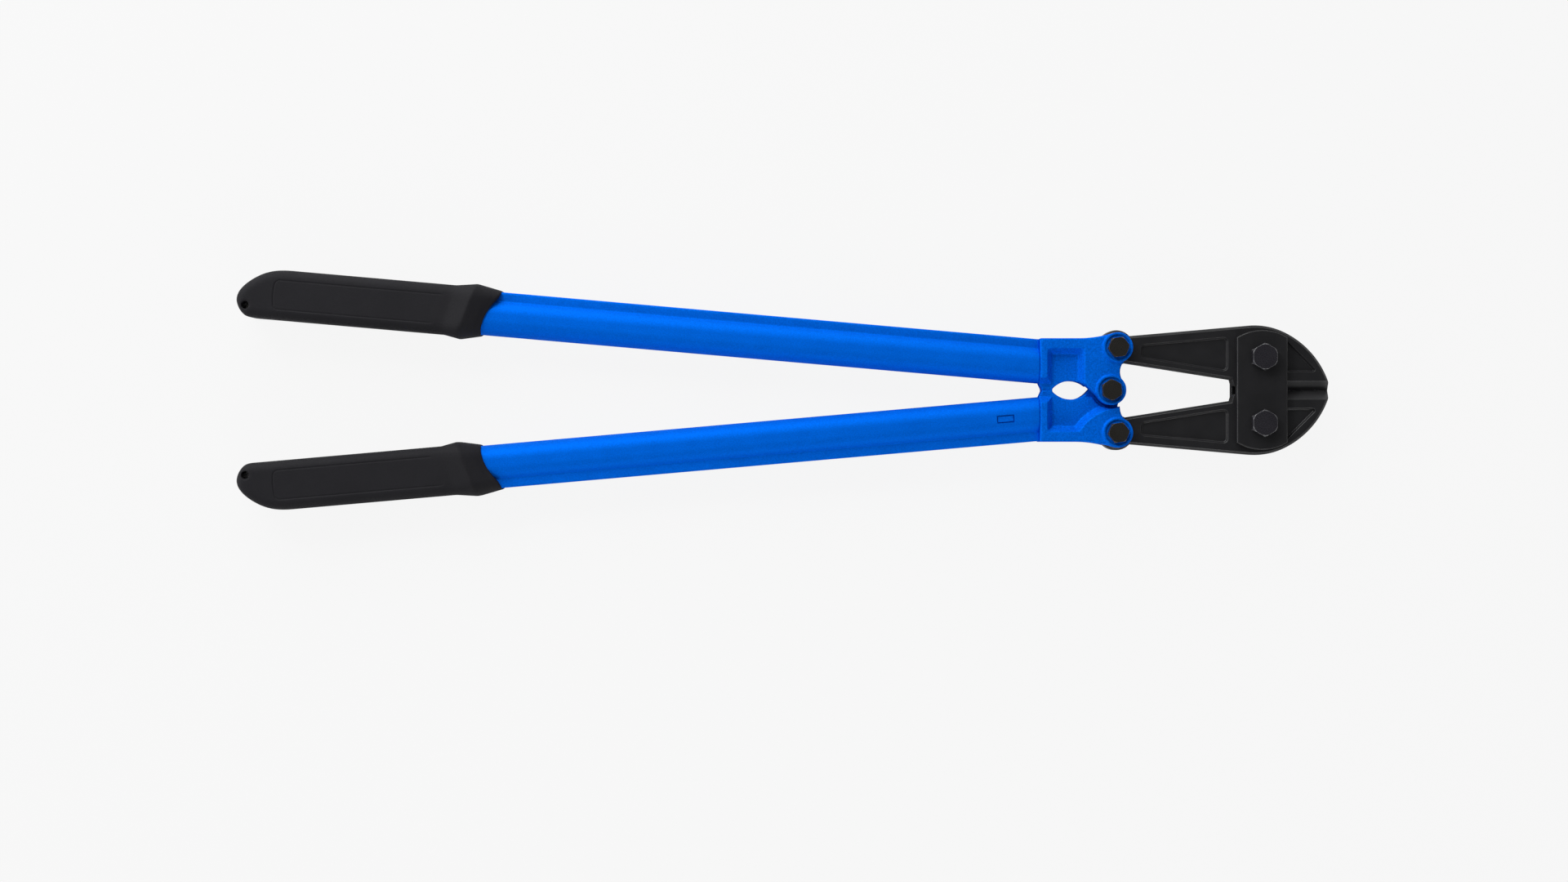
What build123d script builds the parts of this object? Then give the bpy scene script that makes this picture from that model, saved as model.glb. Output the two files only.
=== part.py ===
"""Bolt cutters, 750 mm class: two jaws strapped together at the front, driven by two long
handles through a link bolt each and one pivot bolt between them.

The tool lies flat. +X points to the jaws, +Y to the left handle, +Z up, in millimetres.
X = 0 is halfway along the tool, Y = 0 is its axis, and Z = 0 is the surface that it lies on.
Both handles are one design: the right one is the left one turned over about the tool's axis.
"""
from build123d import *
from math import asin, atan2, cos, hypot, radians, sin, tan
import os

# ---- Places of the five pivots, from the middle of the tool ----
jaw_bolt_x = 328.2
jaw_bolt_y = 22.65
link_x = 228.7
link_y = 29.2
pivot_x = 224.1

# ---- Jaws ----
jaw_thickness = 14.0
nose_x = 374.1
nose_y = 6.5
nose_lead = 0.9
cheek_x = 344.2
cheek_y = 39.8
back_angle = 5.0
back_length = 91.8
arm_outer_reach = 7.2
arm_inner_reach = 9.4
eye_radius = 12.0
arm_end_x = 308.3
arm_end_y = 7.2
knuckle_x = 309.5
knuckle_y = 2.9
blade_heel_x = 340.0
bevel_width = 6.3
edge_gap = 0.01
jaw_chamfer = 1.6
jaw_pocket_depth = 1.8
jaw_pocket_slope = 30.0
arm_pocket_start = 16.6
arm_pocket_end_x = 305.2
arm_pocket_outer_wall = 6.5
arm_pocket_inner_wall = 4.9
arm_pocket_corner = 3.2
blade_pocket_y = 12.4
blade_pocket_start_x = 338.0
blade_pocket_tip_x = 367.3
blade_pocket_top_y = 34.0
blade_pocket_corner = 1.6

# ---- Straps that join the jaws ----
strap_thickness = 5.9
strap_gap = 0.1
strap_rear = 18.0
strap_front = 16.45
strap_reach = 18.25
strap_end_radius = 32.4
strap_edge = 0.5

# ---- Jaw bolts (M10) and link and pivot bolts (M8) ----
jaw_bolt_radius = 5.0
jaw_bolt_flats = 16.4
jaw_head_height = 6.4
jaw_nut_height = 5.0
jaw_washer_radius = 8.9
jaw_washer_thickness = 1.4
link_bolt_radius = 4.0
link_bolt_flats = 13.0
link_head_height = 5.3
link_nut_height = 4.0
link_washer_radius = 7.6
link_washer_thickness = 1.3
bolt_clearance = 0.06
washer_split = 1.2
nut_chamfer_angle = 30.0
end_circle_share = 0.95
shank_chamfer = 0.6
link_bolt_end = 0.5
link_head_turn = 8.0
pivot_head_turn = 34.0
turning_gap = 0.1
jaw_head_turn = 90.0

# ---- Handle fittings ----
fitting_face = 12.6
boss_radius = 10.3
boss_height = 1.4
seat_radius = 8.5
seat_depth = 1.0
lap_gap = 0.15
slot_gap = 0.2
eye_play = 3.4
recess_radius = 12.7
ear_tip_gap = 2.0
shoulder_x = 175.6
fitting_outer_y = 35.5
fitting_inner_y = 4.8
fitting_flare_x = 202.0
lug_start_x = 177.8
lug_end_x = 184.0
lug_wall_y = 8.6
lens_end_x = 210.3
lens_height = 6.35
stop_gap = 0.01
neck_x = 230.4
neck_y = 13.4
neck_pivot_angle = 37.0
neck_link_angle = -58.0
flare_end_angle = 110.0
ear_heel_angle = 205.0
fitting_pocket_depth = 6.1
fitting_pocket_slope = 33.0
fitting_pocket_start_x = 180.5
fitting_pocket_end_x = 206.2
fitting_pocket_y = 28.75
fitting_pocket_corner = 2.5
ear_pocket_end_x = 202.5
ear_pocket_bend_x = 214.5
ear_pocket_bend_y = 16.9
ear_pocket_flat_x = 229.1
fitting_edge = 1.2
tang_length = 42.0
tang_gap = 0.15
tang_root = 2.0

# ---- Handle tubes ----
handle_angle = 5.0
tube_start_y = 19.8
tube_width = 25.1
tube_height = 25.0
tube_corner = 10.5
tube_offset = -2.55
rail_width = 9.0
rail_height = 15.0
rail_corner = 3.5
tube_outer_reach = 15.1
tube_wall = 2.2
tube_length = 515.0
crimp_distance = 23.5
crimp_offset = -2.0
crimp_length = 11.8
crimp_width = 5.2
crimp_depth = 1.0

# ---- Grips ----
grip_half_width = 17.1
grip_half_height = 14.5
grip_edge = 6.4
grip_start = 406.6
grip_end = 552.0
grip_tip_offset = -6.5
grip_round_length = 37.0
grip_shoulder_length = 11.6
grip_shoulder_offset = 10.5
grip_corner_length = 5.5
grip_corner_offset = -15.4
grip_heel_length = 17.7
grip_gap = 0.1
tube_end_gap = 0.5
collar_front = 377.4
collar_front_half_width = 15.9
collar_front_half_height = 13.4
collar_front_corner = 9.0
collar_front_tilt = 21.7
collar_peak = 393.7
collar_peak_half_width = 19.2
collar_peak_corner = 11.0
collar_peak_tilt = 16.7
collar_rear_tilt = 12.7
hang_hole_rear_wall = 4.45
hang_hole_offset = -9.1
hang_hole_radius = 2.65

# ---- Heights that follow from the stack of plates ----
strap_inner_face = jaw_thickness / 2 + strap_gap
strap_face = strap_inner_face + strap_thickness
seat_face = fitting_face + boss_height - seat_depth
slot_face = jaw_thickness / 2 + slot_gap
mid_height = strap_face + jaw_washer_thickness + jaw_nut_height

mid = Plane.XY.offset(mid_height)
tool_axis = Axis((0, 0, mid_height), (1, 0, 0))
jaw_bolt_place = (jaw_bolt_x, jaw_bolt_y)
link_place = (link_x, link_y)
pivot_place = (pivot_x, 0)


def export_piece(piece, name):
    """Label one finished piece and write its STEP file."""
    piece.label = name
    export_step(piece, "parts/" + name + ".step")


def turned_over(piece):
    """The same piece on the right side, turned half a turn about the tool's axis."""
    return piece.rotate(tool_axis, 180)


# ---- Jaws ----

def jaw_pocket(corners, face, corner):
    """Sink one shallow pocket with sloping walls into the jaw's upper or lower face."""
    with BuildSketch(mid.offset(face * jaw_thickness / 2)) as pocket:
        with BuildLine():
            Polyline(*corners, close=True)
        make_face()
        fillet(pocket.vertices(), radius=corner)
    extrude(pocket.sketch, amount=-face * jaw_pocket_depth, taper=jaw_pocket_slope, mode=Mode.SUBTRACT)


def make_jaw(link_hole_radius):
    """The left jaw: an eye on the link bolt, an arm, the strap's seat and a bevelled blade."""
    back = (cos(radians(back_angle)), sin(radians(back_angle)))
    arm_inner_angle = atan2(link_y - arm_end_y, arm_end_x - link_x)
    arm_inner_angle -= asin(arm_inner_reach / hypot(link_y - arm_end_y, arm_end_x - link_x))
    back_start = (link_x - arm_outer_reach * back[1], link_y + arm_outer_reach * back[0])
    back_end = (back_start[0] + back_length * back[0], back_start[1] + back_length * back[1])
    inner_start = (
        link_x - arm_inner_reach * sin(arm_inner_angle),
        link_y - arm_inner_reach * cos(arm_inner_angle),
    )
    nose = (nose_x, nose_y)
    with BuildPart() as jaw:
        with BuildSketch(mid) as outline:
            with BuildLine():
                Line(inner_start, back_start)
                Line(back_start, back_end)
                cheek = TangentArc(back_end, (cheek_x, cheek_y), tangent=back)
                TangentArc((cheek_x, cheek_y), nose, tangent=cheek % 1)
                Polyline(
                    nose,
                    (nose_x + nose_lead, edge_gap),
                    (blade_heel_x, edge_gap),
                    (blade_heel_x, knuckle_y),
                    (knuckle_x, knuckle_y),
                    (arm_end_x, arm_end_y),
                    inner_start,
                )
            make_face()
            with Locations(link_place):
                Circle(eye_radius)
        extrude(amount=jaw_thickness / 2, both=True)
        rims = jaw.faces().filter_by(Axis.Z).edges()
        chamfer(rims.filter_by(lambda rim: rim.center().Y > arm_end_y), length=jaw_chamfer)

        arm_pocket_x = link_x + arm_pocket_start
        outer_slope = tan(radians(back_angle))
        inner_slope = tan(arm_inner_angle)

        def back_y(x):
            return back_start[1] + (x - back_start[0]) * outer_slope - arm_pocket_outer_wall

        def belly_y(x):
            return inner_start[1] - (x - inner_start[0]) * inner_slope + arm_pocket_inner_wall

        for face in (1, -1):
            jaw_pocket(
                [
                    (arm_pocket_x, belly_y(arm_pocket_x)),
                    (arm_pocket_end_x, belly_y(arm_pocket_end_x)),
                    (arm_pocket_end_x, back_y(arm_pocket_end_x)),
                    (arm_pocket_x, back_y(arm_pocket_x)),
                ],
                face,
                arm_pocket_corner,
            )
            jaw_pocket(
                [
                    (blade_pocket_start_x, blade_pocket_y),
                    (blade_pocket_tip_x, blade_pocket_y),
                    (blade_pocket_tip_x - blade_pocket_top_y + blade_pocket_y, blade_pocket_top_y),
                    (blade_pocket_start_x, blade_pocket_top_y),
                ],
                face,
                blade_pocket_corner,
            )
        with BuildSketch(Plane.YZ.offset(blade_heel_x)) as bevel:
            for face in (1, -1):
                with BuildLine():
                    Polyline(
                        (edge_gap, mid_height),
                        (bevel_width, mid_height + face * jaw_thickness / 2),
                        (-bevel_width, mid_height + face * jaw_thickness / 2),
                        close=True,
                    )
                make_face()
        extrude(amount=nose_x + nose_lead - blade_heel_x, mode=Mode.SUBTRACT)
        with Locations(mid):
            with Locations(jaw_bolt_place):
                Hole(jaw_bolt_radius + bolt_clearance)
            with Locations(link_place):
                Hole(link_hole_radius)
    return jaw.part


# The right eye turns with the play that the opened end of the linkage needs.
left_jaw = make_jaw(link_bolt_radius + bolt_clearance)
right_jaw = turned_over(make_jaw(link_bolt_radius + bolt_clearance + eye_play))
export_piece(left_jaw, "left_jaw")
export_piece(right_jaw, "right_jaw")


# ---- Straps ----

def make_strap(inner_face):
    """One strap plate over or under the jaws, with its inner face at the given height."""
    end_y = jaw_bolt_y + strap_reach
    side_y = end_y - strap_end_radius
    side_y += (strap_end_radius ** 2 - ((strap_rear + strap_front) / 2) ** 2) ** 0.5
    left = jaw_bolt_x - strap_rear
    right = jaw_bolt_x + strap_front
    middle = (left + right) / 2
    with BuildPart() as strap:
        with BuildSketch(mid.offset(inner_face)):
            with BuildLine():
                Line((left, -side_y), (left, side_y))
                ThreePointArc((left, side_y), (middle, end_y), (right, side_y))
                Line((right, side_y), (right, -side_y))
                ThreePointArc((right, -side_y), (middle, -end_y), (left, -side_y))
            make_face()
        extrude(amount=strap_thickness)
        rims = strap.faces().filter_by(Axis.Z).edges()
        chamfer(rims, length=strap_edge)
        with Locations(mid):
            with Locations(jaw_bolt_place, (jaw_bolt_x, -jaw_bolt_y)):
                Hole(jaw_bolt_radius + bolt_clearance)
    return strap.part


export_piece(make_strap(strap_inner_face), "top_strap")
export_piece(make_strap(-strap_face), "bottom_strap")


# ---- Bolts, washers and nuts: heads on top, nuts below ----

def hexagon_block(place, base, flats, height, turn, chamfered_ends):
    """A hexagon block standing on the plane base, its corners cut back at the given ends."""
    corner_radius = flats / 2 / cos(radians(30))
    cut = corner_radius - flats / 2 * end_circle_share
    with BuildPart() as envelope:
        with BuildSketch(base):
            with Locations(place):
                Circle(corner_radius)
        extrude(amount=height)
        ends = envelope.faces().filter_by(Axis.Z).sort_by(Axis.Z)
        for end in chamfered_ends:
            rim = ends[end].edges()
            chamfer(rim, length=cut * tan(radians(nut_chamfer_angle)), length2=cut, reference=ends[end])
    with BuildPart() as block:
        with BuildSketch(base):
            with Locations(place):
                RegularPolygon(flats / 2, 6, major_radius=False, rotation=turn)
        extrude(amount=height)
        add(envelope.part, mode=Mode.INTERSECT)
    return block.part


def make_bolt(place, seat, radius, flats, head_height, end, turn):
    """A bolt whose head sits on the height seat and whose shank ends at the height end."""
    with BuildPart() as bolt:
        add(hexagon_block(place, mid.offset(seat), flats, head_height, turn, [-1]))
        with BuildSketch(mid.offset(end)):
            with Locations(place):
                Circle(radius)
        extrude(amount=seat - end)
        chamfer(bolt.edges().sort_by(Axis.Z)[0], length=shank_chamfer)
    return bolt.part


def make_washer(place, top, thickness, inner_radius, outer_radius):
    """A split spring washer hanging below the height top."""
    with BuildPart() as washer:
        with BuildSketch(mid.offset(top)):
            with Locations(place):
                Circle(outer_radius)
                Circle(inner_radius, mode=Mode.SUBTRACT)
            with Locations((place[0] - (inner_radius + outer_radius) / 2, place[1])):
                Rectangle(outer_radius, washer_split, rotation=45, mode=Mode.SUBTRACT)
        extrude(amount=-thickness)
    return washer.part


def make_nut(place, top, height, flats, radius, turn):
    """A thin hexagon nut hanging below the height top."""
    with BuildPart() as nut:
        add(hexagon_block(place, mid.offset(top - height), flats, height, turn, [0, -1]))
        with Locations(mid):
            with Locations(place):
                Hole(radius)
    return nut.part


def make_fastener(name, place, seat, gap, sizes, turn):
    """One bolt with its washer and nut, clamping what lies between the heights seat and -seat."""
    washer_top = -seat - gap
    nut_top = washer_top - sizes["washer_thickness"]
    end = nut_top - sizes["nut_height"] - sizes["end"]
    bolt = make_bolt(place, seat, sizes["radius"], sizes["flats"], sizes["head_height"], end, turn)
    washer = make_washer(
        place,
        washer_top,
        sizes["washer_thickness"],
        sizes["radius"] + bolt_clearance,
        sizes["washer_radius"],
    )
    hole_radius = sizes["radius"] + bolt_clearance
    nut = make_nut(place, nut_top, sizes["nut_height"], sizes["flats"], hole_radius, turn)
    export_piece(bolt, name + "_bolt")
    export_piece(washer, name + "_washer")
    export_piece(nut, name + "_nut")


jaw_bolt_sizes = {
    "radius": jaw_bolt_radius,
    "flats": jaw_bolt_flats,
    "head_height": jaw_head_height,
    "washer_radius": jaw_washer_radius,
    "washer_thickness": jaw_washer_thickness,
    "nut_height": jaw_nut_height,
    "end": 0,
}
link_bolt_sizes = {
    "radius": link_bolt_radius,
    "flats": link_bolt_flats,
    "head_height": link_head_height,
    "washer_radius": link_washer_radius,
    "washer_thickness": link_washer_thickness,
    "nut_height": link_nut_height,
    "end": link_bolt_end,
}
for side, sign in (("left", 1), ("right", -1)):
    jaw_bolt_side = (jaw_bolt_x, sign * jaw_bolt_y)
    link_side = (link_x, sign * link_y)
    make_fastener(side + "_jaw", jaw_bolt_side, strap_face, 0, jaw_bolt_sizes, jaw_head_turn)
    make_fastener(side + "_link", link_side, seat_face, 0, link_bolt_sizes, link_head_turn)
make_fastener("pivot", pivot_place, seat_face, turning_gap, link_bolt_sizes, pivot_head_turn)


# ---- Handles: places along the left tube's axis ----

along = Vector(-cos(radians(handle_angle)), sin(radians(handle_angle)), 0)
outward = Vector(sin(radians(handle_angle)), cos(radians(handle_angle)), 0)
tube_start = Vector(shoulder_x, tube_start_y, mid_height)
handle_plan = Plane(origin=tube_start, x_dir=along, z_dir=(0, 0, -1))


def handle_section(distance, tilt=0):
    """The plane across the handle at a distance from the shoulder, turned by tilt degrees."""
    sideways = outward * cos(radians(tilt)) - along * sin(radians(tilt))
    normal = along * cos(radians(tilt)) + outward * sin(radians(tilt))
    return Plane(origin=tube_start + along * distance, x_dir=sideways, z_dir=normal)


def tube_outline(distance, margin):
    """The tube's section at a distance: a domed body with a lower rail on its outer side."""
    with BuildSketch(handle_section(distance)) as outline:
        with Locations((tube_offset, 0)):
            RectangleRounded(tube_width, tube_height, tube_corner)
        with Locations((tube_outer_reach - rail_width / 2, 0)):
            RectangleRounded(rail_width, rail_height, rail_corner)
        if margin:
            offset(amount=margin)
    return outline.sketch


# ---- Handle fittings ----

def on_circle(centre, radius, angle):
    """The point of a circle at an angle in degrees from +X."""
    return (centre[0] + radius * cos(radians(angle)), centre[1] + radius * sin(radians(angle)))


def make_fitting():
    """The left fitting: tang, stop lug, pocketed web, a fork for the jaw and the upper pivot ear."""
    neck_start = on_circle(pivot_place, boss_radius, neck_pivot_angle)
    neck_end = on_circle(link_place, boss_radius, neck_link_angle)
    flare_end = on_circle(link_place, boss_radius, flare_end_angle)
    ear_heel = on_circle(pivot_place, boss_radius, ear_heel_angle)
    lens_end = (lens_end_x, stop_gap)
    eye_room = eye_radius + eye_play
    floor_y = -fitting_pocket_y / 2
    lug_centre_x = (shoulder_x + lug_end_x) / 2
    with BuildPart() as fitting:
        with BuildSketch(mid) as web:
            with BuildLine():
                Polyline(
                    (shoulder_x, fitting_outer_y),
                    (shoulder_x, fitting_inner_y),
                    (lug_start_x, stop_gap),
                    (lug_end_x, stop_gap),
                )
                ThreePointArc((lug_end_x, stop_gap), ((lug_end_x + lens_end_x) / 2, lens_height), lens_end)
                Polyline(lens_end, pivot_place, neck_start)
                ThreePointArc(neck_start, (neck_x, neck_y), neck_end)
                Polyline(neck_end, link_place, flare_end)
                TangentArc((fitting_flare_x, fitting_outer_y), flare_end, tangent=(1, 0))
                Line((fitting_flare_x, fitting_outer_y), (shoulder_x, fitting_outer_y))
            make_face()
            with Locations(link_place):
                Circle(boss_radius)
        extrude(amount=fitting_face, both=True)
        rims = fitting.faces().sort_by(Axis.Z)[0].edges()
        pivot_corner = (pivot_x, 0, mid_height - fitting_face)
        fillet(rims.filter_by(lambda rim: rim.distance_to(pivot_corner) > 1), radius=fitting_edge)
        with BuildSketch(mid.offset(lap_gap)):
            with Locations(pivot_place):
                Circle(boss_radius)
            Polygon(lens_end, ear_heel, pivot_place, align=None)
        extrude(amount=fitting_face - lap_gap)
        fillet(fitting.faces().sort_by(Axis.Z)[-1].edges(), radius=fitting_edge)
        with BuildSketch(mid.offset(lap_gap)):
            with Locations(pivot_place):
                Circle(recess_radius)
            Polygon(
                (lens_end_x - ear_tip_gap, stop_gap),
                (lens_end_x - ear_tip_gap, -ear_heel[1]),
                (pivot_x, recess_radius / 2),
                (pivot_x, stop_gap),
                align=None,
            )
        extrude(amount=-fitting_face - lap_gap, mode=Mode.SUBTRACT)

        for face in (1, -1):
            with BuildSketch(mid.offset(face * fitting_face)) as pocket:
                with BuildLine():
                    if face == 1:
                        Polyline(
                            (fitting_pocket_end_x, floor_y),
                            (fitting_pocket_end_x, fitting_pocket_y),
                            (fitting_pocket_start_x, fitting_pocket_y),
                            (fitting_pocket_start_x, floor_y),
                            close=True,
                        )
                    else:
                        Polyline(
                            (neck_x + boss_radius, floor_y),
                            (neck_x + boss_radius, recess_radius),
                            (ear_pocket_flat_x, recess_radius),
                        )
                        ThreePointArc(
                            (ear_pocket_flat_x, recess_radius),
                            (ear_pocket_bend_x, ear_pocket_bend_y),
                            (ear_pocket_end_x, fitting_pocket_y),
                        )
                        Polyline(
                            (ear_pocket_end_x, fitting_pocket_y),
                            (fitting_pocket_start_x, fitting_pocket_y),
                            (fitting_pocket_start_x, floor_y),
                            (neck_x + boss_radius, floor_y),
                        )
                make_face()
                fillet(pocket.vertices().sort_by(Axis.Y)[-2:], radius=fitting_pocket_corner)
            extrude(
                amount=-face * fitting_pocket_depth,
                taper=fitting_pocket_slope,
                mode=Mode.SUBTRACT,
            )
            with BuildSketch(mid.offset(face * fitting_face)):
                with Locations((lug_centre_x, 0)):
                    Rectangle(2 * fitting_face, 2 * lug_wall_y)
            extrude(
                amount=-face * fitting_pocket_depth,
                taper=fitting_pocket_slope,
                mode=Mode.SUBTRACT,
            )

        with BuildSketch(mid.offset(-slot_face)):
            with Locations(link_place):
                Circle(eye_room)
            with Locations((link_x - eye_room, link_y)):
                Rectangle(4 * eye_room, 2 * eye_room, align=(Align.MIN, Align.MIN))
            with Locations((link_x, link_y)):
                Rectangle(2 * eye_room, 2 * eye_room, align=(Align.MIN, Align.CENTER))
        extrude(amount=2 * slot_face, mode=Mode.SUBTRACT)

        for place, face in ((link_place, 1), (link_place, -1), (pivot_place, 1)):
            with BuildSketch(mid.offset(face * slot_face)):
                with Locations(place):
                    Circle(boss_radius)
            extrude(amount=face * (fitting_face + boss_height - slot_face))
            with BuildSketch(mid.offset(face * seat_face)):
                with Locations(place):
                    Circle(seat_radius)
            extrude(amount=face * seat_depth, mode=Mode.SUBTRACT)
        with Locations(mid):
            with Locations(link_place, pivot_place):
                Hole(link_bolt_radius + bolt_clearance)
        extrude(tube_outline(-tang_root, -tube_wall - tang_gap), amount=tang_root + tang_length)
    return fitting.part


left_fitting = make_fitting()
export_piece(left_fitting, "left_fitting")
export_piece(turned_over(left_fitting), "right_fitting")


# ---- Handle tubes ----

def make_tube():
    """The left tube, crimped onto the fitting's tang from below."""
    with BuildPart() as tube:
        extrude(tube_outline(-tang_root, 0), amount=tang_root + tube_length)
        extrude(tube_outline(-tang_root, -tube_wall), amount=tang_root + tube_length, mode=Mode.SUBTRACT)
        split(bisect_by=Plane.YZ.offset(shoulder_x), keep=Keep.BOTTOM)
        with BuildSketch(handle_plan.offset(tube_height / 2)):
            with Locations((crimp_distance, crimp_offset)):
                Rectangle(crimp_length, crimp_width)
        extrude(amount=-crimp_depth, mode=Mode.SUBTRACT)
    return tube.part


left_tube = make_tube()
export_piece(left_tube, "left_tube")
export_piece(turned_over(left_tube), "right_tube")


# ---- Grips ----

def collar_section(distance, tilt, half_width, half_height, corner):
    """One rounded section of the collar, across the handle and turned by tilt degrees."""
    with BuildSketch(handle_section(distance, tilt)) as section:
        RectangleRounded(2 * half_width / cos(radians(tilt)), 2 * half_height, corner)
    return section.sketch


def make_grip():
    """The left grip: a long rounded sleeve, a flared collar in front and a hole to hang it by."""
    rear_shift = grip_half_width * tan(radians(collar_rear_tilt))
    with BuildPart() as grip:
        with BuildSketch(handle_plan):
            with BuildLine():
                Polyline(
                    (grip_end - grip_heel_length, -grip_half_width),
                    (grip_start + rear_shift, -grip_half_width),
                    (grip_start - rear_shift, grip_half_width),
                    (grip_end - grip_round_length, grip_half_width),
                )
                Spline(
                    (grip_end - grip_round_length, grip_half_width),
                    (grip_end - grip_shoulder_length, grip_shoulder_offset),
                    (grip_end, grip_tip_offset),
                    (grip_end - grip_corner_length, grip_corner_offset),
                    (grip_end - grip_heel_length, -grip_half_width),
                    tangents=((1, 0), (-1, 0)),
                )
            make_face()
        extrude(amount=grip_half_height, both=True)
        front = handle_section(grip_start, collar_rear_tilt)
        rims = grip.faces().filter_by(Axis.Z).edges()
        rims = rims.filter_by(lambda rim: abs(front.to_local_coords(rim.center()).Z) > 1)
        fillet(rims, radius=grip_edge)
        front_section = collar_section(
            collar_front,
            collar_front_tilt,
            collar_front_half_width,
            collar_front_half_height,
            collar_front_corner,
        )
        peak_section = collar_section(
            collar_peak,
            collar_peak_tilt,
            collar_peak_half_width,
            mid_height,
            collar_peak_corner,
        )
        sleeve_front = grip.faces().sort_by(Axis.X)[-1]
        loft([front_section, peak_section], ruled=True)
        loft([peak_section, sleeve_front], ruled=True)
        bore_start = collar_front - 2 * grip_half_width
        bore_length = tube_length + tube_end_gap - bore_start
        extrude(tube_outline(bore_start, grip_gap), amount=bore_length, mode=Mode.SUBTRACT)
        with BuildSketch(handle_plan.offset(-grip_half_height)):
            hole_distance = grip_end - hang_hole_rear_wall - hang_hole_radius
            with Locations((hole_distance, hang_hole_offset)):
                Circle(hang_hole_radius)
        extrude(amount=2 * grip_half_height, mode=Mode.SUBTRACT)
    return grip.part


left_grip = make_grip()
export_piece(left_grip, "left_grip")
export_piece(turned_over(left_grip), "right_grip")
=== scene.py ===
"""The looks of the bolt cutters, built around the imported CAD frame. Lengths are in metres."""

import math

import bmesh
import bpy
import numpy as np
from mathutils import Matrix, Vector


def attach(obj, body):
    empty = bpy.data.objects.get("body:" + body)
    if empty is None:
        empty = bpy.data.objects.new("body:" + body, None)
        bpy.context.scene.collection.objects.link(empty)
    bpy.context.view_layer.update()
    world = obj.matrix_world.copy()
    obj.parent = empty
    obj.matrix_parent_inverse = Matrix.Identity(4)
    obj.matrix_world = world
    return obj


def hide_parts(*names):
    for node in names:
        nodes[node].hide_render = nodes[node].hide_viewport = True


MM = 0.001

# ---- The handles' own frame: along the tube, outward across it, and up ----
HANDLE_ANGLE = math.radians(5.0)
TUBE_START_X = 175.6 * MM
TUBE_START_Y = 19.8 * MM
MID_HEIGHT = 19.4 * MM

# ---- Tubes: the section is a rounded dome with a rail along its outer side ----
DOME_CENTRE = -2.55 * MM
DOME_HALF_WIDTH = 12.55 * MM
DOME_HALF_HEIGHT = 12.5 * MM
DOME_CORNER = 10.5 * MM
RAIL_CENTRE = 10.6 * MM
RAIL_HALF_WIDTH = 4.5 * MM
RAIL_HALF_HEIGHT = 7.5 * MM
RAIL_CORNER = 1.1 * MM
GROOVE_ROUND = 0.5 * MM
SECTION_POINTS = 240
SECTION_CROWDING = 0.22
SECTION_SEARCH = 30 * MM
SECTION_HALVINGS = 40
TUBE_WALL = 2.2 * MM
TUBE_LENGTH = 515.0 * MM
TUBE_RIM = 0.9 * MM
TUBE_STATIONS = 90
TUBE_LEAN_LENGTH = 30 * MM
TUBE_SHARP_ANGLE = math.radians(50)

# ---- Crimp mark: its place and size along and across the tube ----
CRIMP_PLACE = (23.5 * MM, -2.0 * MM)
CRIMP_SIZE = (11.8 * MM, 5.2 * MM)
CRIMP_DEPTH = 1.9 * MM
CRIMP_RIM = 0.85 * MM
CRIMP_RIM_SLOPE = 0.05 * MM
CRIMP_FLOOR_RISE = 1.3 * MM
CRIMP_TOOL_HEIGHT = 6 * MM

# ---- Grips: places run along the tube from its start ----
GRIP_VOXEL = 0.76 * MM
GRIP_ROUNDS = 5
PANEL_FRONT_OUTER = 408.7 * MM
PANEL_FRONT_INNER = 415.0 * MM
PANEL_REAR = 525.2 * MM
PANEL_MIDDLE = -0.45 * MM
PANEL_FADE = 5.0 * MM
PANEL_BOW = 1.0 * MM
PANEL_HALF_WIDTH = 10.05 * MM
PANEL_CORNER = 3.0 * MM
PANEL_GROOVE_WIDTH = 0.45 * MM
PANEL_GROOVE_DEPTH = 0.35 * MM
PANEL_SINK = 0.12 * MM
PANEL_STEP = 0.8 * MM
PANEL_FINE_REACH = 1.3 * MM
PANEL_SKIN_FROM = DOME_HALF_HEIGHT + 0.5 * MM
PANEL_FACING = 0.5
COLLAR_FRONT = 377.4 * MM
COLLAR_TILT = math.radians(21.7)
COLLAR_HOLLOW = 2.3 * MM
COLLAR_HOLLOW_CENTRE = -2.0 * MM
COLLAR_HOLLOW_REACH = 13.5 * MM
COLLAR_HOLLOW_FROM = 5.0 * MM
COLLAR_BLEND = 9.0 * MM
FLARE_START = 407.5 * MM
FLARE_LEAN = 0.23
FLARE_BLEND = 10.0 * MM
FLARE_ROUNDS = 90
HANG_HOLE_PLACE = (544.9 * MM, -9.1 * MM)
HANG_HOLE_RADIUS = 2.65 * MM

# ---- Fittings and their stop lugs ----
FITTING_VOXEL = 0.45 * MM
FITTING_ROUNDS = 3
STOP_FROM = 177.0 * MM
STOP_TO = 184.8 * MM
STOP_REACH = 0.75 * MM
STOP_FACING = 0.15

# ---- Jaws ----
JAW_BEVEL = 0.35 * MM
JAW_BEVEL_SEGMENTS = 3
BLADE_REACH = 0.4 * MM
BLADE_GAP = 0.05 * MM
GROUND_FROM = 340.0 * MM
GROUND_WIDTH = 5.8 * MM
GROUND_SLANT = (0.3, 0.95)

# ---- Straps and fasteners ----
STRAP_BEVEL = 0.1 * MM
FASTENER_BEVEL = 0.32 * MM
CHAMFER_SLANT = (0.8, 0.95)

# ---- Shared by several pieces ----
MIDDLE_GAP = 0.002 * MM
WELD_REACH = 1e-6
SMOOTH_FACTOR = 0.5
COPLANAR_ANGLE = math.radians(1.0)
SHARP_ANGLE = math.radians(24)
FLAT_ANGLE = math.radians(35)
FLAT_WEIGHT = 80

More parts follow.
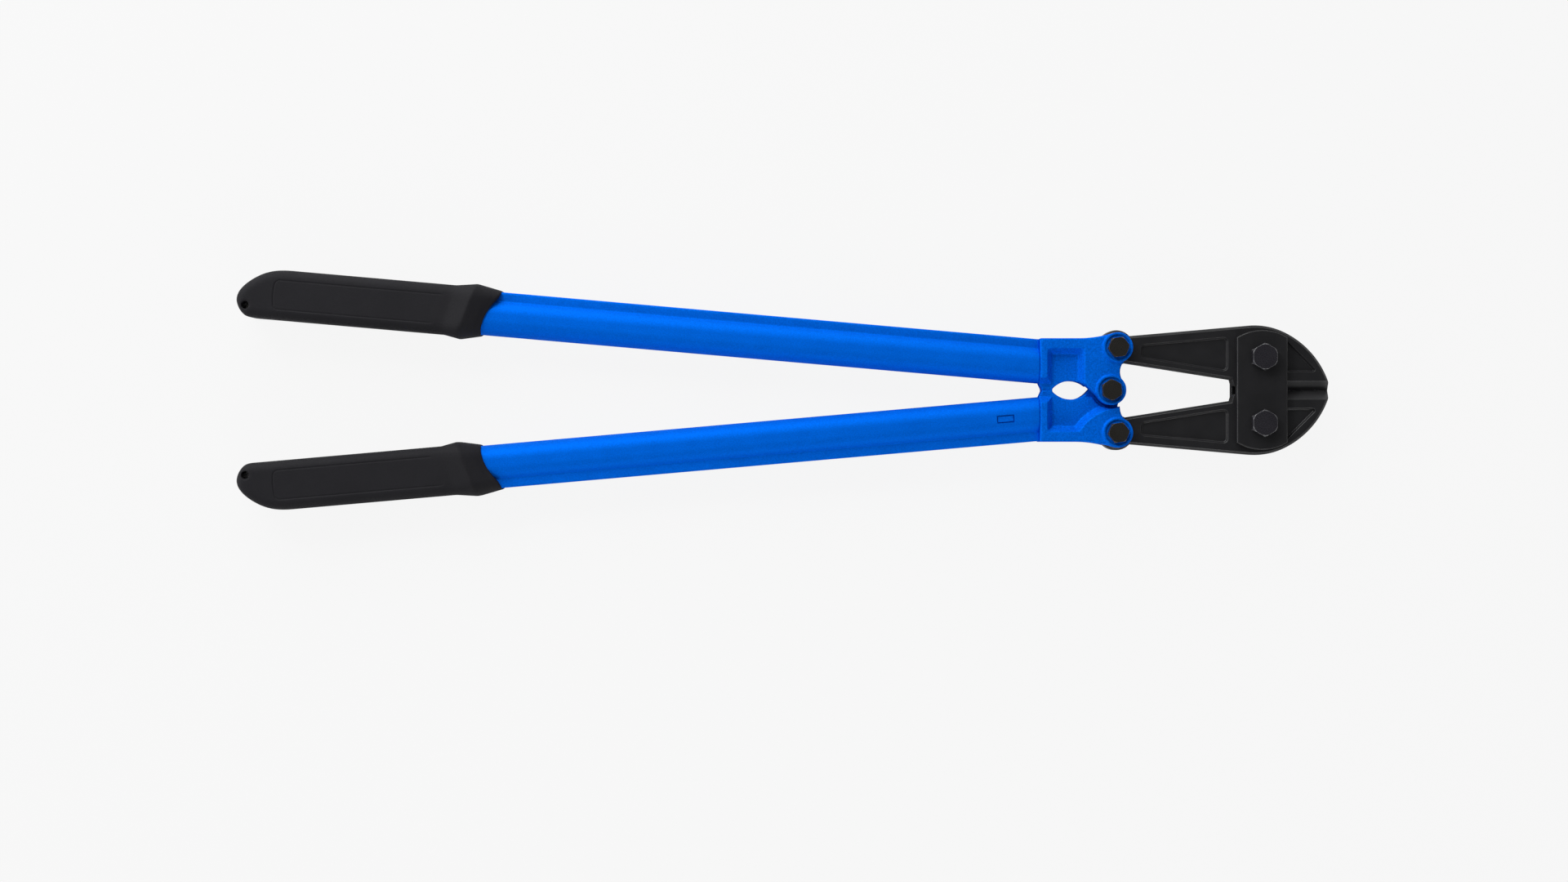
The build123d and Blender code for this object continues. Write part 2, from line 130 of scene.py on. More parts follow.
# ---- Colours and finishes: each pair is the low and the high end of a range ----
NOISE_BAND = (0.3, 0.7)
FLECK_BAND = (0.35, 0.65)
PAINT_COLOURS = ((0.0005, 0.111, 0.62), (0.0006, 0.124, 0.67))
FLECK_COLOURS = ((0.0004, 0.070, 0.42), (0.0008, 0.170, 0.88))
PAINT_ROUGHNESS = (0.55, 0.63)
RUBBER_COLOURS = ((0.0064, 0.0062, 0.0082), (0.0082, 0.0079, 0.0102))
RUBBER_ROUGHNESS = (0.66, 0.8)

# ---- Stage ----
STAGE_WHITE = 0.93
FLOOR_REACH = 6.0
FLOOR_GLOW = 0.965
WORLD_LOW = 0.5
WORLD_HIGH = 0.15
WORLD_BAND = (0.35, 0.95)
CAMERA_PLACE = (0.0004, -0.0349, 1.5210)
CAMERA_LENS = 50.0
CAMERA_SENSOR = 36.0

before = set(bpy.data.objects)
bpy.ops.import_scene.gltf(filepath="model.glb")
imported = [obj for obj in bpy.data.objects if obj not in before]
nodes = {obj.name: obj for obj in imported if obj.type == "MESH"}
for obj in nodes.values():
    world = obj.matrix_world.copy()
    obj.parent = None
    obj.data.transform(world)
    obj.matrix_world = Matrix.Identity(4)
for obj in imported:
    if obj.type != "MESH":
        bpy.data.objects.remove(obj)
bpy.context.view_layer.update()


# ---- Copies of the frame's pieces ----

def new_piece(name, mesh):
    """A shown object around a mesh."""
    piece = bpy.data.objects.new(name, mesh)
    bpy.context.collection.objects.link(piece)
    return piece


def welded_mesh(node, name):
    """A copy of a CAD node's mesh with its split corners joined again."""
    mesh = nodes[node].data.copy()
    mesh.name = name
    mesh.materials.clear()
    work = bmesh.new()
    work.from_mesh(mesh)
    bmesh.ops.remove_doubles(work, verts=work.verts, dist=WELD_REACH)
    work.to_mesh(mesh)
    work.free()
    old_normals = mesh.attributes.get("custom_normal")
    if old_normals is not None:
        mesh.attributes.remove(old_normals)
    return mesh


def apply_modifiers(piece):
    """Turns a piece's modifiers into its mesh."""
    graph = bpy.context.evaluated_depsgraph_get()
    mesh = bpy.data.meshes.new_from_object(piece.evaluated_get(graph))
    piece.modifiers.clear()
    piece.data = mesh


def stand_for(piece, node, *materials):
    """Gives a piece its materials and lets it replace a CAD node."""
    slots = piece.data.materials
    for place, material in enumerate(materials):
        if place < len(slots):
            slots[place] = material
        else:
            slots.append(material)
    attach(piece, body_of[node])
    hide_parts(node)


def soft_copy(node, name, voxel, rounds):
    """A cast or moulded copy of a CAD node: remeshed evenly, with all its edges softened."""
    piece = new_piece(name, welded_mesh(node, name))
    remesh = piece.modifiers.new("even", "REMESH")
    remesh.mode = "VOXEL"
    remesh.voxel_size = voxel
    remesh.use_smooth_shade = True
    smooth = piece.modifiers.new("soft", "SMOOTH")
    smooth.factor = SMOOTH_FACTOR
    smooth.iterations = rounds
    apply_modifiers(piece)
    return piece


def flat_faces(piece):
    """Smooths the shading over the bevels and keeps the large faces flat."""
    piece.data.shade_smooth()
    piece.data.set_sharp_from_angle(angle=FLAT_ANGLE)
    weighted = piece.modifiers.new("flat", "WEIGHTED_NORMAL")
    weighted.weight = FLAT_WEIGHT
    weighted.keep_sharp = True
    apply_modifiers(piece)


def mark_sharp_edges(work, keep):
    """Gives bevel weight to the sharp edges of a mesh, apart from those that keep() names."""
    weight = work.edges.layers.float.new("bevel_weight_edge")
    for edge in work.edges:
        if len(edge.link_faces) != 2 or edge.calc_face_angle() < SHARP_ANGLE:
            continue
        if not keep(edge.verts[0].co, edge.verts[1].co):
            edge[weight] = 1.0


def keep_nothing(first, second):
    """No edge is left sharp."""
    return False


def keep_blade(first, second):
    """The cutting edge stays sharp."""
    return abs(first.y) < BLADE_REACH and abs(second.y) < BLADE_REACH


def bevelled_copy(node, name, width, segments=2, keep=keep_nothing):
    """A machined copy of a CAD node with small bevels, in its second material, on its edges."""
    piece = new_piece(name, welded_mesh(node, name))
    work = bmesh.new()
    work.from_mesh(piece.data)
    bmesh.ops.dissolve_limit(
        work, angle_limit=COPLANAR_ANGLE, verts=work.verts, edges=work.edges
    )
    mark_sharp_edges(work, keep)
    work.to_mesh(piece.data)
    work.free()
    for _ in range(2):
        piece.data.materials.append(None)
    bevel = piece.modifiers.new("edges", "BEVEL")
    bevel.limit_method = "WEIGHT"
    bevel.width = width
    bevel.segments = segments
    bevel.use_clamp_overlap = True
    bevel.material = 1
    apply_modifiers(piece)
    flat_faces(piece)
    return piece


# ---- Handle coordinates ----

def handle_axes(side):
    """The tube's start, its direction and the outward direction; side is 1 left, -1 right."""
    start = np.array([TUBE_START_X, side * TUBE_START_Y, MID_HEIGHT])
    along = np.array([-math.cos(HANDLE_ANGLE), side * math.sin(HANDLE_ANGLE), 0.0])
    outward = np.array([math.sin(HANDLE_ANGLE), side * math.cos(HANDLE_ANGLE), 0.0])
    return start, along, outward


def read_points(mesh):
    """A mesh's vertices as an array."""
    points = np.empty(len(mesh.vertices) * 3)
    mesh.vertices.foreach_get("co", points)
    return points.reshape(-1, 3)


def write_points(mesh, points):
    """Puts an array back as a mesh's vertices."""
    mesh.vertices.foreach_set("co", points.reshape(-1))
    mesh.update()


def read_normals(mesh):
    """A mesh's vertex normals as an array."""
    normals = np.empty(len(mesh.vertices) * 3)
    mesh.vertex_normals.foreach_get("vector", normals)
    return normals.reshape(-1, 3)


# ---- Castings ----

def press_stop(piece, side):
    """Brings the stop lug's face back to its flat plane beside the tool's middle."""
    points = read_points(piece.data)
    normals = read_normals(piece.data)
    x, y = points[:, 0], points[:, 1] * side
    facing = normals[:, 1] * side < -STOP_FACING
    lug = (x > STOP_FROM) & (x < STOP_TO) & (y < STOP_REACH) & facing
    points[:, 1] = np.where(lug, side * MIDDLE_GAP, points[:, 1])
    write_points(piece.data, points)


# ---- Jaws ----

def close_blade(piece, side):
    """Brings the cutting edge up to the tool's middle plane."""
    points = read_points(piece.data)
    y = points[:, 1] * side
    points[:, 1] = np.where(np.abs(y) < BLADE_GAP, side * MIDDLE_GAP, points[:, 1])
    write_points(piece.data, points)


def mark_ground_faces(piece):
    """Gives the ground bevels beside the cutting edge the third material."""
    for face in piece.data.polygons:
        slanted = GROUND_SLANT[0] < abs(face.normal.z) < GROUND_SLANT[1]
        if slanted and face.center.x > GROUND_FROM and abs(face.center.y) < GROUND_WIDTH:
            face.material_index = 2


def make_fastener(node, materials):
    """A bolt, washer or nut, with its edges and corner facets in a lighter colour: painted
    highlights.
    """
    piece = bevelled_copy(node, node + "_worn", FASTENER_BEVEL)
    for face in piece.data.polygons:
        # Corner facets take the lighter edge colour: a painted glint.
        if CHAMFER_SLANT[0] < abs(face.normal.z) < CHAMFER_SLANT[1]:
            face.material_index = 1
    stand_for(piece, node, *materials)


# ---- Tubes ----

def rounded_box_distance(x, y, centre, half_x, half_y, corner):
    """Signed distance to a rounded rectangle; negative inside."""
    reach_x = np.abs(x - centre) - half_x + corner
    reach_y = np.abs(y) - half_y + corner
    outside = np.hypot(np.maximum(reach_x, 0), np.maximum(reach_y, 0))
    inside = np.minimum(np.maximum(reach_x, reach_y), 0)
    return outside + inside - corner


def tube_distance(x, y):
    """Signed distance to the tube's section, with a soft groove where dome and rail meet."""
    dome = rounded_box_distance(
        x, y, DOME_CENTRE, DOME_HALF_WIDTH, DOME_HALF_HEIGHT, DOME_CORNER
    )
    rail = rounded_box_distance(
        x, y, RAIL_CENTRE, RAIL_HALF_WIDTH, RAIL_HALF_HEIGHT, RAIL_CORNER
    )
    blend = np.maximum(GROOVE_ROUND - np.abs(dome - rail), 0) / GROOVE_ROUND
    return np.minimum(dome, rail) - blend * blend * GROOVE_ROUND / 4


def tube_section(inset):
    """The section's outline moved inward by inset, with more of its points on its two sides."""
    turns = np.linspace(0, 2 * math.pi, SECTION_POINTS, endpoint=False)
    turns = turns - SECTION_CROWDING * np.sin(2 * turns)
    cos, sin = np.cos(turns), np.sin(turns)
    low = np.zeros_like(turns)
    high = np.full_like(turns, SECTION_SEARCH)
    for _ in range(SECTION_HALVINGS):
        middle = (low + high) / 2
        inside = tube_distance(middle * cos, middle * sin) < -inset
        low = np.where(inside, middle, low)
        high = np.where(inside, high, middle)
    return low * cos, low * sin


def tube_rings():
    """Stations of the tube as (distance, inset) from the outer skin round both ends inside."""
    quarter = [math.radians(angle) for angle in (0, 22.5, 45, 67.5, 90)]
    front = [(TUBE_RIM * (1 - math.sin(a)), TUBE_RIM * (1 - math.cos(a))) for a in quarter]
    front.reverse()
    lengths = np.linspace(TUBE_RIM, TUBE_LENGTH - TUBE_RIM, TUBE_STATIONS)[1:-1]
    rings = front + [(length, 0.0) for length in lengths]
    rings += [(TUBE_LENGTH - TUBE_RIM, 0.0), (TUBE_LENGTH, TUBE_RIM)]
    rings += [(TUBE_LENGTH, TUBE_WALL)]
    rings += [(length, TUBE_WALL) for length in lengths[::-1]]
    rings += [(0.0, TUBE_WALL)]
    return rings


def shoulder_distance(across):
    """Where the tube's front end meets the fitting's flat shoulder, at a place across it."""
    return across * math.tan(HANDLE_ANGLE)


def tube_mesh(side):
    """The tube's mesh, swept along the handle."""
    start, along, outward = handle_axes(side)
    up = np.array([0.0, 0.0, 1.0])
    points = []
    rings = tube_rings()
    sections = {}
    for distance, inset in rings:
        if inset not in sections:
            sections[inset] = tube_section(inset)
        across, height = sections[inset]
        lean = shoulder_distance(across) * max(0.0, 1 - distance / TUBE_LEAN_LENGTH)
        place = start + np.outer(distance + lean, along)
        place = place + np.outer(across, outward) + np.outer(height, up)
        points.append(place)
    faces = []
    count = SECTION_POINTS
    for ring in range(len(rings)):
        after = (ring + 1) % len(rings)
        for i in range(count):
            j = (i + 1) % count
            face = (ring * count + i, ring * count + j, after * count + j, after * count + i)
            faces.append(face if side > 0 else face[::-1])
    mesh = bpy.data.meshes.new("tube_mesh")
    mesh.from_pydata(np.concatenate(points).tolist(), [], faces)
    mesh.update()
    return mesh


def crimp_tool(side):
    """A block that presses the crimp mark into the tube: a flat floor in a deeper flat trench."""
    start, along, outward = handle_axes(side)
    place = start + along * CRIMP_PLACE[0] + outward * CRIMP_PLACE[1]
    top = DOME_HALF_HEIGHT - CRIMP_DEPTH
    block = bmesh.new()
    bmesh.ops.create_cube(block, size=1.0)
    bmesh.ops.scale(block, vec=(*CRIMP_SIZE, CRIMP_TOOL_HEIGHT), verts=block.verts)
    face_up = -side
    block.normal_update()
    pressing = [face for face in block.faces if face.normal.z * face_up < -0.9]
    bmesh.ops.inset_individual(block, faces=pressing, thickness=CRIMP_RIM)
    bmesh.ops.inset_individual(
        block, faces=pressing, thickness=CRIMP_RIM_SLOPE, depth=-CRIMP_FLOOR_RISE
    )
    height = MID_HEIGHT + face_up * (top + CRIMP_TOOL_HEIGHT / 2)
    turn = Matrix.Rotation(math.atan2(along[1], along[0]), 4, "Z")
    bmesh.ops.transform(
        block,
        matrix=Matrix.Translation((place[0], place[1], height)) @ turn,
        verts=block.verts,
    )
    mesh = bpy.data.meshes.new("crimp_tool")
    block.to_mesh(mesh)
    block.free()
    return new_piece("crimp_tool", mesh)


def make_tube(side, node, name):
    """One handle tube with its crimp mark."""
    piece = new_piece(name, tube_mesh(side))
    tool = crimp_tool(side)
    press = piece.modifiers.new("press", "BOOLEAN")
    press.operation = "DIFFERENCE"
    press.solver = "EXACT"
    press.object = tool
    apply_modifiers(piece)
    bpy.data.objects.remove(tool)
    piece.data.shade_smooth()
    piece.data.set_sharp_from_angle(angle=TUBE_SHARP_ANGLE)
    stand_for(piece, node, tube_paint)


# ---- Grips ----

def panel_front(v):
    """How far along the handle the panel's slanted front edge lies."""
    share = (v + PANEL_HALF_WIDTH) / (2 * PANEL_HALF_WIDTH)
    return PANEL_FRONT_INNER + (PANEL_FRONT_OUTER - PANEL_FRONT_INNER) * share


def panel_distance(u, v):
    """Signed distance in plan to the grip panel's outline; negative inside."""
    front = panel_front(v)
    rear = PANEL_REAR + PANEL_BOW * (1 - (v / PANEL_HALF_WIDTH) ** 2)
    centre = (front + rear) / 2
    reach_u = np.abs(u - centre) - (rear - front) / 2 + PANEL_CORNER
    reach_v = np.abs(v) - PANEL_HALF_WIDTH + PANEL_CORNER
    outside = np.hypot(np.maximum(reach_u, 0), np.maximum(reach_v, 0))
    inside = np.minimum(np.maximum(reach_u, reach_v), 0)
    return outside + inside - PANEL_CORNER


def refine_panel_edge(piece, side):
    """Splits the faces along the panel's outline finely enough to carry the groove."""
    start, along, outward = handle_axes(side)
    work = bmesh.new()
    work.from_mesh(piece.data)
    work.faces.ensure_lookup_table()
    centres = np.array([face.calc_center_median() for face in work.faces])
    normals = np.array([face.normal for face in work.faces])
    u = (centres - start) @ along
    v = (centres - start) @ outward - PANEL_MIDDLE
    skin = np.abs(centres[:, 2] - MID_HEIGHT) > PANEL_SKIN_FROM
    skin &= np.abs(normals[:, 2]) > PANEL_FACING
    near = skin & (np.abs(panel_distance(u, v)) < PANEL_FINE_REACH)
    chosen = [work.faces[i] for i in np.nonzero(near)[0]]
    edges = list({edge for face in chosen for edge in face.edges})
    bmesh.ops.subdivide_edges(work, edges=edges, cuts=2, use_grid_fill=True)
    work.to_mesh(piece.data)
    work.free()


def carve_panel(piece, side):
    """Sinks the panel a little and draws the fine groove round it, above and below."""
    start, along, outward = handle_axes(side)
    points = read_points(piece.data)
    normals = read_normals(piece.data)
    u = (points - start) @ along
    v = (points - start) @ outward - PANEL_MIDDLE
    skin = np.abs(points[:, 2] - MID_HEIGHT) > PANEL_SKIN_FROM
    skin &= np.sign(points[:, 2] - MID_HEIGHT) * normals[:, 2] > PANEL_FACING
    distance = panel_distance(u, v)
    groove = np.exp(-((distance / PANEL_GROOVE_WIDTH) ** 2)) * PANEL_GROOVE_DEPTH
    sink = PANEL_SINK * np.clip(0.5 - distance / PANEL_STEP, 0, 1)
    fade = np.clip((u - panel_front(v)) / PANEL_FADE, 0, 1)
    depth = np.where(skin, (groove + sink) * fade, 0.0)
    write_points(piece.data, points - normals * depth[:, None])


def soften_flare(piece, side):
    """Blends the flare into the grip's flat faces, without changing its outline in plan."""
    start, along, outward = handle_axes(side)
    points = read_points(piece.data)
    u = (points - start) @ along
    v = (points - start) @ outward
    # Full within half a blend of the flare's start, and nothing beyond one and a half.
    reach = np.abs(u - FLARE_START + v * FLARE_LEAN)
    share = np.clip(1.5 - reach / FLARE_BLEND, 0, 1)
    group = piece.vertex_groups.new(name="flare")
    for index in np.nonzero(share)[0]:
        group.add([int(index)], float(share[index]), "REPLACE")
    smooth = piece.modifiers.new("flare", "SMOOTH")
    smooth.vertex_group = group.name
    smooth.factor = SMOOTH_FACTOR
    smooth.iterations = FLARE_ROUNDS
    smooth.use_x = False
    smooth.use_y = False
    apply_modifiers(piece)


def round_hang_hole(piece, side):
    """Opens the hang hole back to a true cylinder."""
    start, along, outward = handle_axes(side)
    place = start + along * HANG_HOLE_PLACE[0] + outward * HANG_HOLE_PLACE[1]
    points = read_points(piece.data)
    across = points[:, :2] - place[:2]
    distance = np.hypot(across[:, 0], across[:, 1])
    scale = np.where(distance < HANG_HOLE_RADIUS, HANG_HOLE_RADIUS / distance, 1.0)
    points[:, :2] = place[:2] + across * scale[:, None]
    write_points(piece.data, points)


def curve_collar(piece, side):
    """Hollows the collar's front edge in the middle of its upper and lower faces."""
    start, along, outward = handle_axes(side)
    points = read_points(piece.data)
    u = (points - start) @ along
    v = (points - start) @ outward
    height = np.abs(points[:, 2] - MID_HEIGHT)
    front = COLLAR_FRONT - v * math.tan(COLLAR_TILT)
    near = np.clip(1 - (u - front) / COLLAR_BLEND, 0, 1)
    middle = np.clip(1 - ((v - COLLAR_HOLLOW_CENTRE) / COLLAR_HOLLOW_REACH) ** 2, 0, 1)
    tall = np.clip((height - COLLAR_HOLLOW_FROM) / COLLAR_HOLLOW_FROM, 0, 1)
    shift = COLLAR_HOLLOW * near * near * (3 - 2 * near) * middle * tall
    write_points(piece.data, points + shift[:, None] * along)


def make_grip(side, node, name):
    """One moulded grip: flared collar, rounded end and a grooved panel on both faces."""
    piece = soft_copy(node, name, GRIP_VOXEL, GRIP_ROUNDS)
    soften_flare(piece, side)
    refine_panel_edge(piece, side)
    carve_panel(piece, side)
    curve_collar(piece, side)
    round_hang_hole(piece, side)
    piece.data.shade_smooth()
    stand_for(piece, node, grip_rubber)


# ---- Materials ----

def shader(name):
    """A new node material with its tree and its main shader."""
    material = bpy.data.materials.new(name)
    material.use_nodes = True
    tree = material.node_tree
    return material, tree, tree.nodes["Principled BSDF"]


def noise(tree, scale, detail, roughness=0.55):
    """Noise over the piece's own coordinates."""
    places = tree.nodes.new("ShaderNodeTexCoord")
    texture = tree.nodes.new("ShaderNodeTexNoise")
    texture.inputs["Scale"].default_value = scale
    texture.inputs["Detail"].default_value = detail
    texture.inputs["Roughness"].default_value = roughness
    tree.links.new(places.outputs["Object"], texture.inputs["Vector"])
    return texture.outputs["Fac"]


def ramp(tree, value, low, high, low_colour, high_colour):
    """Blends two colours between two values."""
    band = tree.nodes.new("ShaderNodeValToRGB")
    band.color_ramp.elements[0].position = low
    band.color_ramp.elements[0].color = (*low_colour, 1)
    band.color_ramp.elements[1].position = high
    band.color_ramp.elements[1].color = (*high_colour, 1)
    tree.links.new(value, band.inputs["Fac"])
    return band.outputs["Color"]


def span(tree, value, low, high, to_low, to_high):
    """Maps a value from one range to another."""
    spread = tree.nodes.new("ShaderNodeMapRange")
    spread.inputs["From Min"].default_value = low
    spread.inputs["From Max"].default_value = high
    spread.inputs["To Min"].default_value = to_low
    spread.inputs["To Max"].default_value = to_high
    tree.links.new(value, spread.inputs["Value"])
    return spread.outputs["Result"]


def mixed(tree, factor, first, second):
    """Mixes two colours by a factor."""
    # The Mix node has sockets of the same name for each kind of value, so these go by place.
    first_socket, second_socket, result_socket = 6, 7, 2
    mix = tree.nodes.new("ShaderNodeMix")
    mix.data_type = "RGBA"
    if isinstance(factor, float):
        mix.inputs["Factor"].default_value = factor
    else:
        tree.links.new(factor, mix.inputs["Factor"])
    for place, colour in ((first_socket, first), (second_socket, second)):
        socket = mix.inputs[place]
        if isinstance(colour, tuple):
            socket.default_value = (*colour, 1)
        else:
            tree.links.new(colour, socket)
    return mix.outputs[result_socket]


def bump(tree, main, height, strength, distance):
    """Raises the surface by a height value."""
    relief = tree.nodes.new("ShaderNodeBump")
    relief.inputs["Strength"].default_value = strength
    relief.inputs["Distance"].default_value = distance
    tree.links.new(height, relief.inputs["Height"])
    tree.links.new(relief.outputs["Normal"], main.inputs["Normal"])


def make_blue_paint(name, grain_scale, fleck_share, relief):
    """Baked blue paint with a fine grain, coarser on cast than on drawn steel."""
    material, tree, main = shader(name)
    cloud = noise(tree, scale=60.0, detail=3.0)
    grain = noise(tree, scale=grain_scale, detail=2.0, roughness=0.7)
    base = ramp(tree, cloud, *NOISE_BAND, *PAINT_COLOURS)
    fleck = ramp(tree, grain, *FLECK_BAND, *FLECK_COLOURS)
    tree.links.new(mixed(tree, fleck_share, base, fleck), main.inputs["Base Color"])
    tree.links.new(span(tree, cloud, *NOISE_BAND, *PAINT_ROUGHNESS), main.inputs["Roughness"])
    main.inputs["Metallic"].default_value = 0.35
    main.inputs["Specular IOR Level"].default_value = 0.0
    bump(tree, main, grain, strength=0.6, distance=relief)
    return material


def make_dark_steel(name, low, high, rough, gloss):
    """Blackened steel with a faint cloud and a fine grain."""
    material, tree, main = shader(name)
    cloud = noise(tree, scale=90.0, detail=4.0)
    grain = noise(tree, scale=1400.0, detail=3.0, roughness=0.6)
    tree.links.new(ramp(tree, cloud, *NOISE_BAND, low, high), main.inputs["Base Color"])
    roughness = span(tree, grain, *NOISE_BAND, rough - 0.05, rough + 0.08)
    tree.links.new(roughness, main.inputs["Roughness"])
    main.inputs["Specular IOR Level"].default_value = gloss
    bump(tree, main, grain, strength=0.3, distance=0.0001)
    return material


def make_steel_with_edge_highlight(name, low, high, rough, gloss, edge_highlight):
    """Blackened steel and, for its edges, the same steel smoother and in another colour, mostly
    lighter: a painted highlight along the edges.
    """
    face = make_dark_steel(name, low, high, rough, gloss)
    # The edge colour and its lighter end are painted highlights on the bevels.
    bright = tuple(1.3 * share for share in edge_highlight)
    edge = make_dark_steel(name + "_edge", edge_highlight, bright, rough - 0.04, 0.5)
    return face, edge


def make_grip_rubber():
    """Matte dark rubber with a fine even grain."""
    material, tree, main = shader("grip_rubber")
    cloud = noise(tree, scale=45.0, detail=3.0)
    grain = noise(tree, scale=1800.0, detail=2.0, roughness=0.6)
    base = ramp(tree, cloud, *NOISE_BAND, *RUBBER_COLOURS)
    tree.links.new(base, main.inputs["Base Color"])
    tree.links.new(span(tree, grain, *NOISE_BAND, *RUBBER_ROUGHNESS), main.inputs["Roughness"])
    main.inputs["Specular IOR Level"].default_value = 0.2
    bump(tree, main, grain, strength=0.4, distance=0.00012)
    return material


tube_paint = make_blue_paint(
    "tube_paint", grain_scale=1100.0, fleck_share=0.3, relief=0.15 * MM
)
casting_paint = make_blue_paint(
    "casting_paint", grain_scale=850.0, fleck_share=0.5, relief=0.3 * MM
)
# The edge colours below are painted highlights on bevels and corner facets; the jaw bolts' are
# bright painted glints.
jaw_steel = make_steel_with_edge_highlight(
    "jaw_steel",
    low=(0.0095, 0.0095, 0.0107),
    high=(0.0130, 0.0130, 0.0142),
    rough=0.34,
    gloss=0.3,
    edge_highlight=(0.018, 0.018, 0.019),
)
strap_steel = make_steel_with_edge_highlight(
    "strap_steel",
    low=(0.0098, 0.0098, 0.011),
    high=(0.0125, 0.0125, 0.0137),
    rough=0.34,
    gloss=0.3,
    edge_highlight=(0.0098, 0.0098, 0.0108),
)
jaw_bolt_steel = make_steel_with_edge_highlight(
    "jaw_bolt_steel",
    low=(0.0112, 0.0104, 0.014),
    high=(0.015, 0.0142, 0.018),
    rough=0.26,
    gloss=0.4,
    edge_highlight=(0.17, 0.17, 0.176),
)
link_bolt_steel = make_steel_with_edge_highlight(
    "link_bolt_steel",
    low=(0.0098, 0.009, 0.0075),
    high=(0.013, 0.012, 0.0105),
    rough=0.28,
    gloss=0.4,
    edge_highlight=(0.06, 0.048, 0.036),
)
ground_steel = make_dark_steel(
    "ground_steel", low=(0.021, 0.021, 0.0225), high=(0.027, 0.027, 0.0285), rough=0.36, gloss=0.4
)
grip_rubber = make_grip_rubber()


# ---- Bodies of the nodes ----

fastener_parts = ("bolt", "washer", "nut")
body_of = {"top_strap": "head", "bottom_strap": "head"}
for side_name in ("left", "right"):
    handle = side_name + "_handle"
    for part in ("fitting", "tube", "grip"):
        body_of[f"{side_name}_{part}"] = handle
    body_of[f"{side_name}_jaw"] = f"{side_name}_jaw"
    for part in fastener_parts:
        body_of[f"{side_name}_jaw_{part}"] = "head"
        body_of[f"{side_name}_link_{part}"] = handle
for part in fastener_parts:
    body_of[f"pivot_{part}"] = "left_handle"

# ---- The pieces ----

for side_name, side in (("left", 1), ("right", -1)):
    fitting = soft_copy(
        f"{side_name}_fitting", f"{side_name}_casting", FITTING_VOXEL, FITTING_ROUNDS
    )
    press_stop(fitting, side)
    stand_for(fitting, f"{side_name}_fitting", casting_paint)
    jaw = bevelled_copy(
        f"{side_name}_jaw",
        f"{side_name}_forged_jaw",
        JAW_BEVEL,
        segments=JAW_BEVEL_SEGMENTS,
        keep=keep_blade,
    )
    close_blade(jaw, side)
    mark_ground_faces(jaw)
    stand_for(jaw, f"{side_name}_jaw", *jaw_steel, ground_steel)
    make_tube(side, f"{side_name}_tube", f"{side_name}_handle_tube")
    make_grip(side, f"{side_name}_grip", f"{side_name}_moulded_grip")
    for part in fastener_parts:
        for place, materials in (("jaw", jaw_bolt_steel), ("link", link_bolt_steel)):
            make_fastener(f"{side_name}_{place}_{part}", materials)
for part in fastener_parts:
    make_fastener(f"pivot_{part}", link_bolt_steel)
for node in ("top_strap", "bottom_strap"):
    stand_for(bevelled_copy(node, node + "_plate", STRAP_BEVEL), node, *strap_steel)


# ---- Stage ----

def make_floor():
    """A wide pale floor that shows near white to the camera and keeps a soft shadow."""
    mesh = bpy.data.meshes.new("floor")
    signs = ((-1, -1), (1, -1), (1, 1), (-1, 1))
    corners = [(FLOOR_REACH * x, FLOOR_REACH * y, 0) for x, y in signs]
    mesh.from_pydata(corners, [], [(0, 1, 2, 3)])
    floor = new_piece("floor", mesh)
    material, tree, main = shader("floor_paper")
    main.inputs["Base Color"].default_value = (STAGE_WHITE, STAGE_WHITE, STAGE_WHITE, 1)
    main.inputs["Roughness"].default_value = 0.9
    main.inputs["Specular IOR Level"].default_value = 0.0
    glow = tree.nodes.new("ShaderNodeEmission")
    glow.inputs["Color"].default_value = (STAGE_WHITE, STAGE_WHITE, STAGE_WHITE, 1)
    seen = tree.nodes.new("ShaderNodeLightPath")
    part_seen = span(tree, seen.outputs["Is Camera Ray"], 0.0, 1.0, 0.0, FLOOR_GLOW)
    blend = tree.nodes.new("ShaderNodeMixShader")
    tree.links.new(part_seen, blend.inputs["Fac"])
    tree.links.new(main.outputs["BSDF"], blend.inputs[1])
    tree.links.new(glow.outputs["Emission"], blend.inputs[2])
    tree.links.new(blend.outputs["Shader"], tree.nodes["Material Output"].inputs["Surface"])
    mesh.materials.append(material)


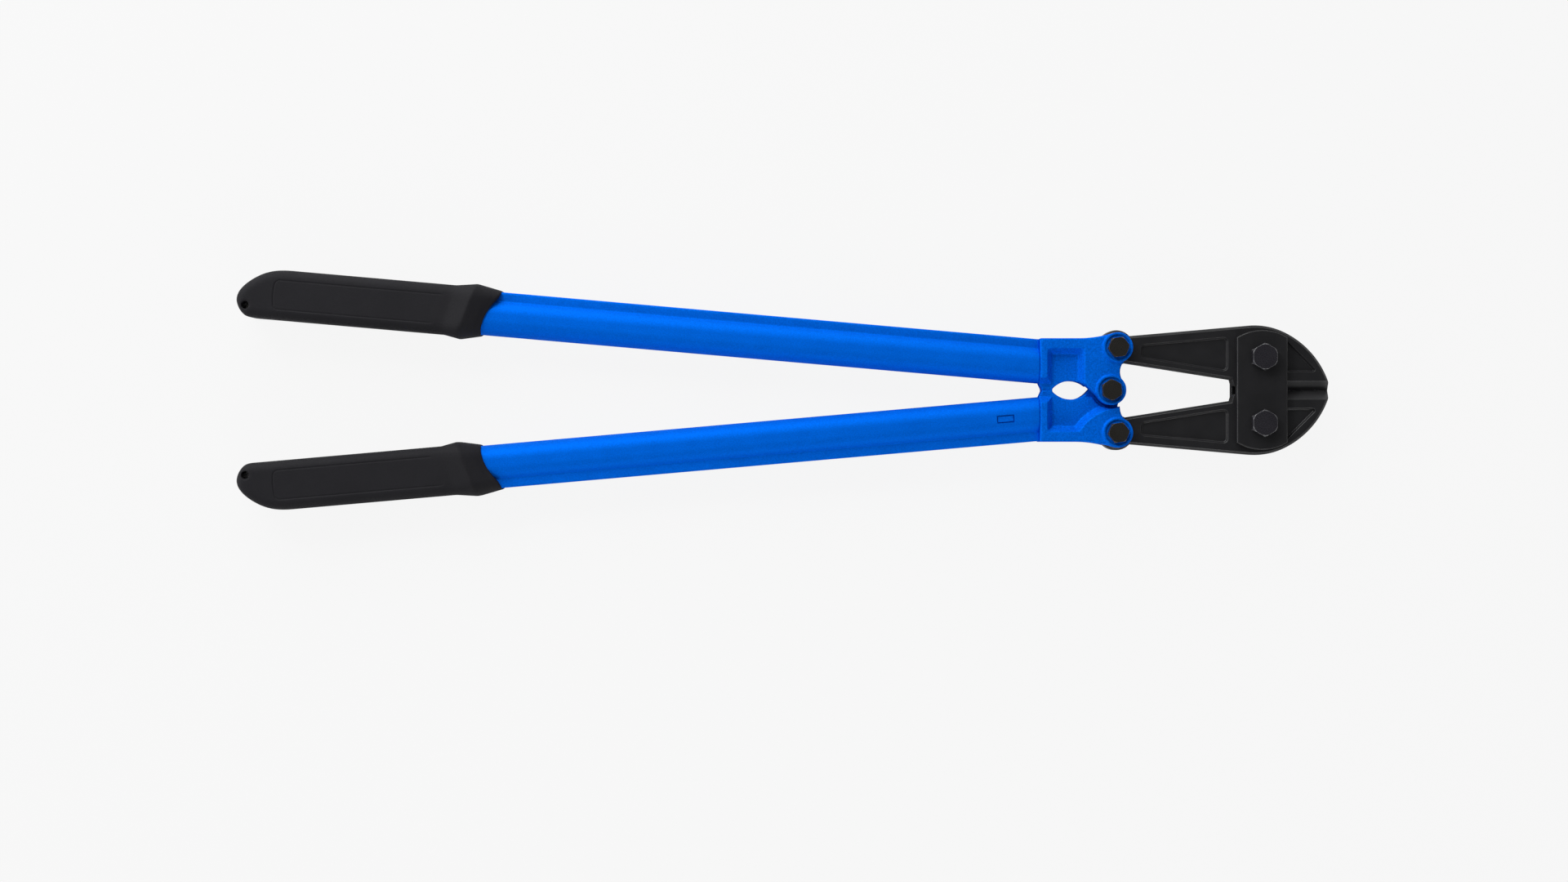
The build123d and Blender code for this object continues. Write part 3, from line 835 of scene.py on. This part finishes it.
def make_world():
    """Soft room light, darker overhead; the camera sees it in the floor's white."""
    world = bpy.data.worlds.new("room")
    bpy.context.scene.world = world
    world.use_nodes = True
    tree = world.node_tree
    background = tree.nodes["Background"]
    background.inputs["Strength"].default_value = 1.0
    places = tree.nodes.new("ShaderNodeTexCoord")
    split = tree.nodes.new("ShaderNodeSeparateXYZ")
    tree.links.new(places.outputs["Generated"], split.inputs["Vector"])
    low = (WORLD_LOW, WORLD_LOW, WORLD_LOW)
    high = (WORLD_HIGH, WORLD_HIGH, WORLD_HIGH)
    room = ramp(tree, split.outputs["Z"], *WORLD_BAND, low, high)
    seen = tree.nodes.new("ShaderNodeLightPath")
    white = (STAGE_WHITE, STAGE_WHITE, STAGE_WHITE)
    shown = mixed(tree, seen.outputs["Is Camera Ray"], room, white)
    tree.links.new(shown, background.inputs["Color"])


def soft_light(name, place, size, power):
    """A rectangular soft light aimed at the frame's origin."""
    lamp = bpy.data.lights.new(name, "AREA")
    lamp.shape = "RECTANGLE"
    lamp.size = size[0]
    lamp.size_y = size[1]
    lamp.energy = power
    light = bpy.data.objects.new(name, lamp)
    bpy.context.collection.objects.link(light)
    light.location = place
    light.rotation_euler = (-Vector(place)).to_track_quat("-Z", "Y").to_euler()


def make_camera():
    """The camera looks straight down on the tool."""
    lens = bpy.data.cameras.new("camera")
    lens.lens = CAMERA_LENS
    lens.sensor_width = CAMERA_SENSOR
    camera = bpy.data.objects.new("camera", lens)
    bpy.context.collection.objects.link(camera)
    camera.location = CAMERA_PLACE
    bpy.context.scene.camera = camera


make_floor()
make_world()
soft_light("key", place=(-0.6, 1.75, 1.1), size=(2.2, 1.5), power=43.0)
soft_light("fill", place=(0.3, -1.9, 0.9), size=(1.6, 0.5), power=15.5)
soft_light("side", place=(-1.3, 1.35, 1.65), size=(0.7, 0.5), power=16.0)
soft_light("rear", place=(-2.3, 0.1, 0.9), size=(1.4, 0.5), power=16.0)
make_camera()
bpy.context.scene.view_settings.view_transform = "Standard"
